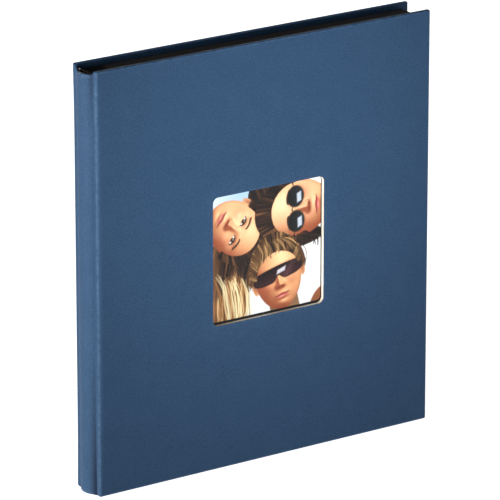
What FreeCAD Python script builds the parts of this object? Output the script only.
import FreeCAD, Part
import math
import os

# Case-bound pocket album that stands on its tail edge.
# Frame: millimetres, +Z up, +X from spine to fore-edge, the front cover faces -Y.
# The origin is the middle of the footprint, on the surface that the album stands on.

# Driving dimensions
BOARD_W = 298.0          # cover panel, hinge edge to fore-edge
BOARD_H = 326.0          # cover panel, tail to head
ALBUM_T = 32.0           # over both cover panels
SPINE_BULGE = 4.0        # how far the rounded spine passes the hinge edges
WINDOW = 100.0           # square window in the front panel
WINDOW_R = 4.5
WINDOW_SHIFT = 2.0       # window's middle, from the panel's middle towards the fore-edge
LEAVES = 20              # pocket leaves between the two flyleaves

# Cover build-up, from the outer face inwards
COVERING_T = 0.4         # covering paper
BOARD_T = 2.6            # greyboard
TURN_IN_T = 0.3
TURN_IN_W = 16.0
PANEL_T = COVERING_T + BOARD_T + TURN_IN_T
CORNER_R = 1.2           # panel corners, seen from the front
EDGE_R = 1.2             # outer edges of a covered panel
GLUE_GAP = 0.15          # between a turn-in and the paper laid beside it

# Window pocket and its print, behind the front panel
PRINT_W = 110.0
PRINT_T = 0.3
PRINT_PLAY = 0.1
POCKET_STRIP_W = 7.0
POCKET_SIDE_PLAY = 0.6
POCKET_BACK_T = 0.3
THUMB_R = 12.0

# Spine
SPINE_TOP = 323.0
SPINE_EDGE = 6.2         # from a cover's outer face to the spine's long edge
SPINE_BOARD_T = 1.6
SPINE_LINING_T = 0.3

# Book block
HEAD_SQUARE = 4.8        # the covers pass the leaves by this at head and tail
FORE_SQUARE = 4.5        # and by this at the fore-edge
FLYLEAF_T = 0.25
FLYLEAF_GAP = 0.3        # between a cover's lining and the flyleaf beside it
LEAF_T = 0.7
LEAF_MARGIN = 0.35       # between the flyleaves and the leaves
GUARD_X = 1.2            # from the hinge edge to the back of the guards
CREASE_X = 5.3           # from the hinge edge to the creases that the leaves turn on
CREASE_GAP = 0.3
FLEX_W = 15.5            # bending strip between a crease and the stiff part of its leaf
LEAF_CORNER_R = 2.5
MULL_T = 0.4
MULL_SHORT = 12.0        # the mull stops this far from the block's head and tail
BAND_R = 1.1
BAND_SHORT = 0.5         # a band stops this far from the first and last guard

# Room for cutting tools and rounding
PAST = 5.0
TINY = 1e-6

# Places worked out from those
LENGTH = BOARD_W + SPINE_BULGE
HINGE_X = SPINE_BULGE - LENGTH / 2
FORE_X = LENGTH / 2
FRONT_Y = -ALBUM_T / 2
WINDOW_Z = BOARD_H / 2
WINDOW_X = HINGE_X + BOARD_W / 2 + WINDOW_SHIFT
BLOCK_Z = HEAD_SQUARE
BLOCK_H = BOARD_H - 2 * HEAD_SQUARE
POCKET_DEPTH = PRINT_T + 2 * PRINT_PLAY
POCKET_FACE = PANEL_T + POCKET_DEPTH + POCKET_BACK_T
FLYLEAF_Y = POCKET_FACE + FLYLEAF_GAP
LEAVES_Y = FLYLEAF_Y + FLYLEAF_T + LEAF_MARGIN
BACK_FLYLEAF_Y = ALBUM_T - PANEL_T - FLYLEAF_GAP - FLYLEAF_T
LEAF_PITCH = (BACK_FLYLEAF_Y - LEAF_MARGIN - LEAVES_Y) / LEAVES
BLOCK_BACK = ALBUM_T - LEAVES_Y
SPINE_HALF = ALBUM_T / 2 - SPINE_EDGE
SPINE_R = (SPINE_HALF ** 2 + SPINE_BULGE ** 2) / (2 * SPINE_BULGE)
SPINE_T = COVERING_T + SPINE_BOARD_T + SPINE_LINING_T
POCKET_W = PRINT_W + 2 * (POCKET_SIDE_PLAY + POCKET_STRIP_W)
POCKET_X = WINDOW_X - HINGE_X - POCKET_W / 2
POCKET_Z = WINDOW_Z - PRINT_W / 2 - POCKET_STRIP_W
POCKET_H = PRINT_W + POCKET_STRIP_W


def box(x, y, z, length, depth, height):
    """A block placed from the hinge edge, the front face and the floor."""
    return Part.makeBox(length, depth, height, FreeCAD.Vector(HINGE_X + x, FRONT_Y + y, z))


def edges_along(shape, axis, test):
    """The straight edges along one axis whose middle passes a test."""
    found = []
    for edge in shape.Edges:
        ends = [v.Point for v in edge.Vertexes]
        if len(ends) < 2:
            continue
        run = ends[1] - ends[0]
        if abs(getattr(run, axis)) < 0.99 * run.Length:
            continue
        if test((ends[0] + ends[1]) * 0.5):
            found.append(edge)
    return found


def rounded_plate(x, y, z, length, depth, height, radius):
    """A flat plate in the XZ plane with rounded corners."""
    plate = box(x, y, z, length, depth, height)
    return plate.makeFillet(radius, edges_along(plate, "y", lambda p: True))


def soft_plate(inset, y, depth, radius):
    """A panel-shaped plate whose outer face (low y) has soft edges all round."""
    plate = rounded_plate(inset, y, inset, BOARD_W - 2 * inset, depth, BOARD_H - 2 * inset,
                          CORNER_R - inset)
    face_y = FRONT_Y + y
    rim = [e for e in plate.Edges if abs(e.BoundBox.YMin - face_y) < TINY
           and abs(e.BoundBox.YMax - face_y) < TINY]
    return plate.makeFillet(radius, rim)


def window_cut():
    """The window's square, from in front of the cover to behind its lining."""
    return rounded_plate(WINDOW_X - HINGE_X - WINDOW / 2, -PAST, WINDOW_Z - WINDOW / 2,
                         WINDOW, PAST + PANEL_T, WINDOW, WINDOW_R)


def panel_board():
    return soft_plate(COVERING_T, COVERING_T, BOARD_T, EDGE_R - COVERING_T)


def panel_covering():
    """Covering paper: outer face, four edges, and turn-ins on the inner face."""
    skin = soft_plate(0, 0, PANEL_T, EDGE_R).cut(panel_board())
    lining = box(TURN_IN_W, PANEL_T - TURN_IN_T, TURN_IN_W,
                 BOARD_W - 2 * TURN_IN_W, TURN_IN_T, BOARD_H - 2 * TURN_IN_W)
    return skin.cut(lining)


def panel_pastedown():
    inset = TURN_IN_W + GLUE_GAP
    return box(inset, PANEL_T - TURN_IN_T, inset,
               BOARD_W - 2 * inset, TURN_IN_T, BOARD_H - 2 * inset)


def to_back(shape):
    """The same piece on the back cover, mirrored through the middle of the block."""
    return shape.mirror(FreeCAD.Vector(0, 0, 0), FreeCAD.Vector(0, 1, 0))


def window_spacer():
    """Three strips round the print, open at the head."""
    outer = box(POCKET_X, PANEL_T, POCKET_Z, POCKET_W, POCKET_DEPTH, POCKET_H)
    room = box(POCKET_X + POCKET_STRIP_W, PANEL_T, POCKET_Z + POCKET_STRIP_W,
               POCKET_W - 2 * POCKET_STRIP_W, POCKET_DEPTH, POCKET_H)
    return outer.cut(room)


def window_backing():
    """Card glued to the spacer, with a thumb notch at its head edge."""
    y = PANEL_T + POCKET_DEPTH
    card = box(POCKET_X, y, POCKET_Z, POCKET_W, POCKET_BACK_T, POCKET_H)
    notch = Part.makeCylinder(THUMB_R, POCKET_BACK_T,
                              FreeCAD.Vector(WINDOW_X, FRONT_Y + y, POCKET_Z + POCKET_H),
                              FreeCAD.Vector(0, 1, 0))
    return card.cut(notch)


def window_print():
    return box(WINDOW_X - HINGE_X - PRINT_W / 2, PANEL_T + PRINT_PLAY, WINDOW_Z - PRINT_W / 2,
               PRINT_W, PRINT_T, PRINT_W)


def spine_slice(outer, inner, end_x, z, height):
    """A curved strip of the spine between two depths below its outer surface."""
    middle = FreeCAD.Vector(HINGE_X - SPINE_BULGE + SPINE_R, 0, z)
    strip = Part.makeCylinder(SPINE_R - outer, height, middle)
    strip = strip.cut(Part.makeCylinder(SPINE_R - inner, height, middle))
    return strip.common(Part.makeBox(ALBUM_T, 2 * ALBUM_T, height,
                                     FreeCAD.Vector(HINGE_X + end_x - ALBUM_T, -ALBUM_T, z)))


def spine_board():
    return spine_slice(COVERING_T, COVERING_T + SPINE_BOARD_T, -COVERING_T, COVERING_T,
                       SPINE_TOP - 2 * COVERING_T)


def spine_covering():
    """Covering paper round the spine board, turned in at head and tail."""
    skin = spine_slice(0, SPINE_T, 0, 0, SPINE_TOP).cut(spine_board())
    room = spine_slice(COVERING_T + SPINE_BOARD_T, SPINE_T + PAST, PAST, TURN_IN_W,
                       SPINE_TOP - 2 * TURN_IN_W)
    return skin.cut(room)


def spine_lining():
    inset = TURN_IN_W + GLUE_GAP
    return spine_slice(COVERING_T + SPINE_BOARD_T, SPINE_T, -COVERING_T - GLUE_GAP, inset,
                       SPINE_TOP - 2 * inset)


def mull():
    """Open cloth glued over the backs of the guards."""
    return box(GUARD_X - MULL_T, LEAVES_Y, BLOCK_Z + MULL_SHORT, MULL_T,
               BLOCK_BACK - LEAVES_Y, BLOCK_H - 2 * MULL_SHORT)


def band(z):
    """Woven roll across the end of the block's back."""
    start = FreeCAD.Vector(HINGE_X + GUARD_X + BAND_R, FRONT_Y + LEAVES_Y + BAND_SHORT, z)
    length = BLOCK_BACK - LEAVES_Y - 2 * BAND_SHORT
    return Part.makeCylinder(BAND_R, length, start, FreeCAD.Vector(0, 1, 0))


def leaf_y(index):
    """Front face of a leaf; index 0 is the one beside the front flyleaf."""
    return LEAVES_Y + LEAF_PITCH * index + (LEAF_PITCH - LEAF_T) / 2


def guard(index):
    """Folded stub that one leaf hangs from."""
    return box(GUARD_X, LEAVES_Y + LEAF_PITCH * index, BLOCK_Z,
               CREASE_X - CREASE_GAP - GUARD_X, LEAF_PITCH, BLOCK_H)


def sheet(y, thickness):
    """The stiff part of a leaf, from the end of its bending strip to the fore-edge."""
    start = CREASE_X + FLEX_W
    length = BOARD_W - FORE_SQUARE - start
    plate = box(start, y, BLOCK_Z, length, thickness, BLOCK_H)
    fore = FORE_X - FORE_SQUARE
    return plate.makeFillet(LEAF_CORNER_R, edges_along(plate, "y", lambda p: abs(p.x - fore) < TINY))


def pieces():
    """Every physical piece, by name."""
    found = {
        "front_board": panel_board().cut(window_cut()),
        "front_covering": panel_covering().cut(window_cut()),
        "front_pastedown": panel_pastedown().cut(window_cut()),
        "window_spacer": window_spacer(),
        "window_backing": window_backing(),
        "window_print": window_print(),
        "spine_board": spine_board(),
        "spine_covering": spine_covering(),
        "spine_lining": spine_lining(),
        "block_mull": mull(),
        "head_band": band(BLOCK_Z + BLOCK_H + BAND_R),
        "tail_band": band(BLOCK_Z - BAND_R),
        "front_flyleaf": sheet(FLYLEAF_Y, FLYLEAF_T),
        "back_flyleaf": sheet(BACK_FLYLEAF_Y, FLYLEAF_T),
        "back_board": to_back(panel_board()),
        "back_covering": to_back(panel_covering()),
        "back_pastedown": to_back(panel_pastedown()),
    }
    for index in range(LEAVES):
        found[f"guard_{index + 1:02d}"] = guard(index)
        found[f"leaf_{index + 1:02d}"] = sheet(leaf_y(index), LEAF_T)
    return found


def main():
    os.makedirs("parts", exist_ok=True)
    for name, shape in pieces().items():
        solids = shape.Solids
        assert shape.isValid(), name
        assert len(solids) == 1, f"{name} has {len(solids)} solids"
        solids[0].exportStep(f"parts/{name}.step")
        b = shape.BoundBox
        print(f"{name:16s} {shape.Volume / 1000:9.2f} cm3  x {b.XMin:8.2f} {b.XMax:8.2f}"
              f"  y {b.YMin:7.2f} {b.YMax:7.2f}  z {b.ZMin:7.2f} {b.ZMax:7.2f}")


main()
